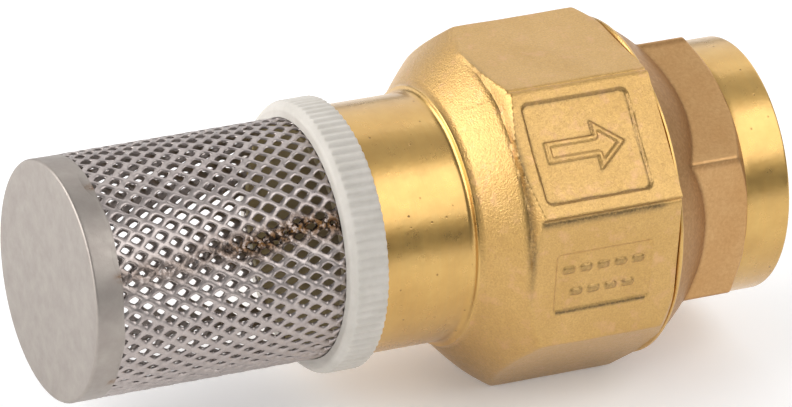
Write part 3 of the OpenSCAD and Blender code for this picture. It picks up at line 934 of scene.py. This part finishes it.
def stain_weight(x):
    """The weld stain is strongest towards the collar."""
    return 0.45 + 0.55 * ease(x, CAP_FACE_X + 18, CAP_FACE_X + 27)


def cell_border(pitch, spread):
    """A cell's border from its tip on: six corners, and the middles between them."""
    tip_u = pitch - CELL_SIDE_U
    corners = [(tip_u, 0), (CELL_SIDE_U, spread / 2), (-CELL_SIDE_U, spread / 2),
               (-tip_u, 0), (-CELL_SIDE_U, -spread / 2), (CELL_SIDE_U, -spread / 2)]
    border = []
    for (u0, v0), (u1, v1) in zip(corners, corners[1:] + corners[:1]):
        border += [(u0, v0), ((u0 + u1) / 2, (v0 + v1) / 2)]
    return np.array(border)


def cell_hole(bearing):
    """A cell's opening, between a diamond and an ellipse, in the directions of its border."""
    along, across = np.cos(bearing), np.sin(bearing)
    reach = (np.abs(along) / HOLE_HALF_L) ** HOLE_POWER + (np.abs(across) / HOLE_HALF_W) ** HOLE_POWER
    return np.stack([along, across], -1) * (reach ** (-1 / HOLE_POWER))[:, None]


def sieve_points():
    """All cells laid flat: each point's place along x, place round the sheet, and radius.
    Cells near the weld are smaller and pushed about."""
    spread = 2 * math.pi * SIEVE_R / HOLES_ROUND
    length = SIEVE_HIGH_X - SIEVE_LOW_X
    rows = round((length - 3) / HOLE_PITCH)
    pitch = (length - 2 * SIEVE_END_MARGIN) / (rows - 1)
    border = cell_border(pitch, spread)
    bearing = np.arctan2(border[:, 1], border[:, 0])
    edge = cell_hole(bearing)
    lean = STRAND_LEAN * np.sin(bearing + 0.5)
    u, v, r = [], [], []
    for row in range(rows):
        x0 = SIEVE_LOW_X + SIEVE_END_MARGIN + row * pitch
        for k in range(HOLES_ROUND):
            v0 = (k + 0.5 * (row % 2)) * spread
            near = hump(seam_distance(x0, math.degrees(v0 / SIEVE_R)), 1.25)
            size = 1 + RANDOM.normal(0, 0.05) - near * RANDOM.uniform(0.15, 0.85)
            hole = edge * size + RANDOM.normal(0, 0.03 + 0.12 * near, 2)
            for share, height, side in STRAND_RINGS:
                ring = hole * (1 - share) + border * share
                u.append(x0 + ring[:, 0])
                v.append(v0 + ring[:, 1])
                r.append(SIEVE_R - SIEVE_T / 2 + side * height * SIEVE_T / 2 + lean * (1 - share))
    return np.array(u), np.array(v), np.array(r)


def weld(u, v, r):
    """Points in one place become one: the first of each place, and the place of every point."""
    whole = 2 * math.pi * SIEVE_R
    key = np.stack([u.ravel(), v.ravel() % whole, r.ravel()], -1)
    key = np.floor(key * WELD_GRID + WELD_SHIFT)
    key[:, 1] %= math.floor(whole * WELD_GRID)
    _, first, place = np.unique(key, axis=0, return_index=True, return_inverse=True)
    return first, place.ravel()


def strip(a, b):
    """Faces between two rings of every cell."""
    return np.stack([a, np.roll(a, -1, 1), np.roll(b, -1, 1), b], -1).reshape(-1, 4)


def sieve_faces(index, place):
    """The strands' faces, and the sheet's cut edge wherever a border has no neighbour."""
    faces = place[np.vstack([strip(index[:, a], index[:, b]) for a, b in STRAND_STRIPS])]
    cut = strip(place[index[:, OUTER_BORDER]], place[index[:, INNER_BORDER]])
    _, which, count = np.unique(np.sort(cut[:, :2], 1), axis=0, return_inverse=True, return_counts=True)
    return np.vstack([faces, cut[count[which.ravel()] == 1]])


def build_sieve(material):
    """Expanded sheet: staggered cells with rounded strands, and a lumpy weld along its seam."""
    u, v, r = sieve_points()
    first, place = weld(u, v, r)
    index = np.arange(u.size).reshape(-1, len(STRAND_RINGS), u.shape[1])
    faces = sieve_faces(index, place)
    x, angle, r = u.ravel()[first], np.degrees(v.ravel()[first] / SIEVE_R), r.ravel()[first]
    from_seam = seam_distance(x, angle)
    near = hump(from_seam, 1.1)
    lumps = RANDOM.normal(0, 1, (3, len(x)))
    r = r + near * (0.10 * np.sin(x * 2.9) + 0.07 * lumps[0]) - 0.12 * hump(from_seam, 0.3)
    under_cap = x < CAP_RIM_X + 0.4
    in_collar = x > COLLAR_FRONT_X - 0.2
    r = np.minimum(r, SIEVE_R + np.where(under_cap, -0.02, np.where(in_collar, 0.03, 0.08)))
    x = x + near * 0.10 * lumps[1]
    turn = np.radians(angle) + near * 0.10 * lumps[2] / SIEVE_R
    points = np.stack([x, -r * np.cos(turn), r * np.sin(turn)], -1)
    marks = {"stain": hump(from_seam, 2.4) * stain_weight(x)}
    piece = make_piece("strainer_sieve_mesh", points, faces, "strainer", sharp=70, marks=marks)
    paint(piece, material)
    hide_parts("strainer_sieve")


def cap_rows(rim, dents):
    """From the middle of the face, over the edge and down the skirt, and back inside."""
    face_x, back_x = CAP_FACE_X, CAP_FACE_X + CAP_SHEET
    rows = [(face_x + CAP_DISH, 0.3)]
    for r in np.linspace(1.5, CAP_DISH_R, 12):
        rows.append((face_x + CAP_DISH * (1 - (r / CAP_DISH_R) ** 2), r))
    rows += [(face_x, 18.1)]
    rows += arc((face_x + CAP_EDGE_R, CAP_R - CAP_EDGE_R - 0.03), CAP_EDGE_R, 180, 90, 6)
    skirt_x = face_x + CAP_EDGE_R
    for t in np.linspace(0.12, 0.94, 9):
        rows.append((skirt_x + (rim - skirt_x) * t, CAP_R - 0.04 + (dents - 0.05) * t))
    rows += [(rim - 0.06, CAP_R - 0.16 + dents), (rim, CAP_R - 0.24 + dents)]
    inner = SIEVE_R + 0.02
    rows += [(rim, inner + 0.01), (rim - 0.3, inner), (back_x + 0.4, inner), (back_x, inner - 0.4)]
    return rows + [(back_x, 10.0), (back_x, 0.3)]


def centre_fans(count, rows, first_centre):
    """Faces that close the first and the last row of a lathe on a centre point each."""
    ring = np.arange(count)
    after = (ring + 1) % count
    last = (rows - 1) * count
    start, end = np.full(count, first_centre), np.full(count, first_centre + 1)
    fans = (start, ring, after, start), (end, last + after, last + ring, end)
    return [np.stack(corners, -1) for corners in fans]


def build_cap(material):
    """The pressed cap: a faintly dished face, a tight round edge and a slightly wavy skirt."""
    angles = even_angles(0.75)
    count = len(angles)
    rim = CAP_RIM_X + 0.16 * ripple(0, angles, 1.0, 5) - 0.12
    dents = 0.05 * ripple(0, angles, 1.0, 8)
    rows = cap_rows(rim, dents)
    points, faces = lathe(rows, angles, looped=False)
    faces = np.vstack([faces] + centre_fans(count, len(rows), len(points)))
    points = np.vstack([points, [[CAP_FACE_X + CAP_DISH, 0, 0], [CAP_FACE_X + CAP_SHEET, 0, 0]]])
    skirt = np.array([np.broadcast_to(row[0], count) for row in rows])
    spots = sum(hump(off_axis(angles, spot), 2.2) for spot in CAP_SPOTS)
    stain = np.clip(hump(skirt - CAP_RIM_X, 1.0) * spots, 0, 1)
    marks = {"stain": np.append(stain, [0, 0])}
    piece = make_piece("strainer_cap_pressed", points, faces, "strainer", sharp=50, marks=marks)
    paint(piece, material)
    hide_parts("strainer_end_cap")


# ------------------------ spring and inner pieces
def build_spring():
    """The return spring: round wire with close, tapered end turns."""
    steps_per_turn, sides = 48, 12
    turns = SPRING_TURNS
    low_x, high_x = span("return_spring")
    first, last = low_x + WIRE_R, high_x - WIRE_R
    turn = np.linspace(0, turns, turns * steps_per_turn + 1)
    pitch = (last - first - 4 * WIRE_R) / (turns - 2)
    x = first + 2 * WIRE_R * np.minimum(turn, 1) + pitch * np.clip(turn - 1, 0, turns - 2)
    x = x + 2 * WIRE_R * np.clip(turn - turns + 1, 0, 1)
    around = np.arange(sides) * 2 * math.pi / sides
    taper = 0.35 + 0.65 * np.minimum(ease(turn, 0, 0.5), ease(turns - turn, 0, 0.5))
    r = COIL_R + WIRE_R * np.cos(around)[None, :]
    along = x[:, None] + WIRE_R * taper[:, None] * np.sin(around)[None, :]
    angle = turn[:, None] * 2 * math.pi
    points = np.stack([along, r * np.cos(angle), r * np.sin(angle)], -1).reshape(-1, 3)
    steps = len(turn) - 1
    end = [[0, k, k + 1, k + 2] for k in range(1, sides - 2, 2)]
    start = [face[::-1] for face in end]
    end = steps * sides + np.array(end)
    faces = np.vstack([sweep_faces(steps, sides), start, end])
    piece = make_piece("return_spring_wire", points, faces, "valve_body", sharp=50)
    paint(piece, SPRING_STEEL)
    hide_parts("return_spring")
    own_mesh(piece)


def finish_cad_nodes():
    """The inner pieces keep their CAD meshes, with small rounded edges and real finishes."""
    finishes = {
        "stem_guide": (ACETAL, 0.25), "poppet_disc": (ACETAL, 0.2), "seal_retainer": (ACETAL, 0.15),
        "poppet_seal": (RUBBER, 0.12), "body_o_ring": (RUBBER, 0.0),
        "guide_stem": (STEM_STEEL, 0.1), "stem_nut": (STEM_STEEL, 0.25),
    }
    for node, (material, edge) in finishes.items():
        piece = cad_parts[node]
        piece.data.materials.clear()
        piece.data.materials.append(material)
        if edge:
            bevel = piece.modifiers.new("soft_edges", "BEVEL")
            bevel.width = edge * MM
            bevel.segments = 2
            bevel.limit_method = "ANGLE"
            bevel.angle_limit = math.radians(35)


# ------------------------ floor, lights and camera
def build_floor():
    """A pale sheet that the valve lies on."""
    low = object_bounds()[0][2]
    reach = 3.0
    corners = [(-reach, -reach, low), (reach, -reach, low), (reach, reach, low), (-reach, reach, low)]
    mesh = bpy.data.meshes.new("floor")
    mesh.from_pydata(corners, [], [(0, 1, 2, 3)])
    floor = bpy.data.objects.new("floor", mesh)
    bpy.context.scene.collection.objects.link(floor)
    f = Finish("floor_paper", Roughness=0.9, Emission_Color=(1, 1, 1, 1), Emission_Strength=0.2)
    f.feed(Base_Color=f.blend(f.noise(40, 2), srgb(247, 247, 247), srgb(250, 250, 250)))
    floor.data.materials.append(f.material)


def soft_light(name, aim, direction, distance, width, height, power):
    """A rectangular soft light, so far off in a direction, that shines at aim."""
    data = bpy.data.lights.new(name, "AREA")
    data.shape = "RECTANGLE"
    data.size, data.size_y = width, height
    data.energy = power
    lamp = bpy.data.objects.new(name, data)
    away = Vector(direction).normalized()
    lamp.location = aim + away * distance
    lamp.rotation_euler = away.to_track_quat("Z", "Y").to_euler()
    bpy.context.scene.collection.objects.link(lamp)


def build_lights():
    centre = Vector(((CAP_FACE_X + MOUTH_X) / 2 * MM, 0, 0))
    for name, light in LIGHTS.items():
        soft_light(name, centre, **light)
    world = bpy.data.worlds.new("studio")
    world.use_nodes = True
    background = world.node_tree.nodes["Background"]
    background.inputs["Color"].default_value = SKY_COLOUR
    background.inputs["Strength"].default_value = SKY_STRENGTH
    bpy.context.scene.world = world
    bpy.context.scene.view_settings.view_transform = "Standard"


def build_camera():
    """A long lens from the front left, a little above."""
    azimuth, elevation, roll = (math.radians(CAMERA[key]) for key in ("azimuth", "elevation", "roll"))
    back = Vector((
        -math.sin(azimuth) * math.cos(elevation),
        -math.cos(azimuth) * math.cos(elevation),
        math.sin(elevation),
    ))
    right = (-back).cross(Vector((0, 0, 1))).normalized()
    up = right.cross(-back)
    across = right * math.cos(roll) + up * math.sin(roll)
    upward = up * math.cos(roll) - right * math.sin(roll)
    aim = Vector((AIM_X * MM, 0, 0)) + across * AIM_ACROSS * MM + upward * AIM_UP * MM
    data = bpy.data.cameras.new("camera")
    data.sensor_width = CAMERA["film_w"]
    data.lens = CAMERA["lens"]
    camera = bpy.data.objects.new("camera", data)
    bpy.context.scene.collection.objects.link(camera)
    turn = Matrix((across, upward, back)).transposed()
    camera.matrix_world = Matrix.Translation(aim + back * CAMERA["distance"]) @ turn.to_4x4()
    bpy.context.scene.camera = camera


build_inlet_body()
build_outlet_body()
NYLON = white_nylon()
inlet_thread = build_thread("inlet_thread", "valve_body", INLET_X, THROAT_X - 0.2,
                            THREAD_ROOT_R, THREAD_CREST_R, 0.0, TURNED)
outlet_thread = build_thread("outlet_thread", "valve_body",
                             MOUTH_X - OUTLET_THREAD_L + 0.2, MOUTH_X - 0.2,
                             THREAD_ROOT_R, THREAD_CREST_R, 0.0, TURNED)
collar_thread = build_thread("collar_thread", "strainer", COLLAR_BACK_X + 0.4, COLLAR_SPIGOT_X - 0.5,
                             COLLAR_CORE_R, THREAD_ROOT_R - 0.1, THREAD_PITCH / 2, NYLON)
build_collar(NYLON)
build_sieve(sieve_steel())
build_cap(cap_steel())
build_spring()
finish_cad_nodes()
build_floor()
build_lights()
build_camera()
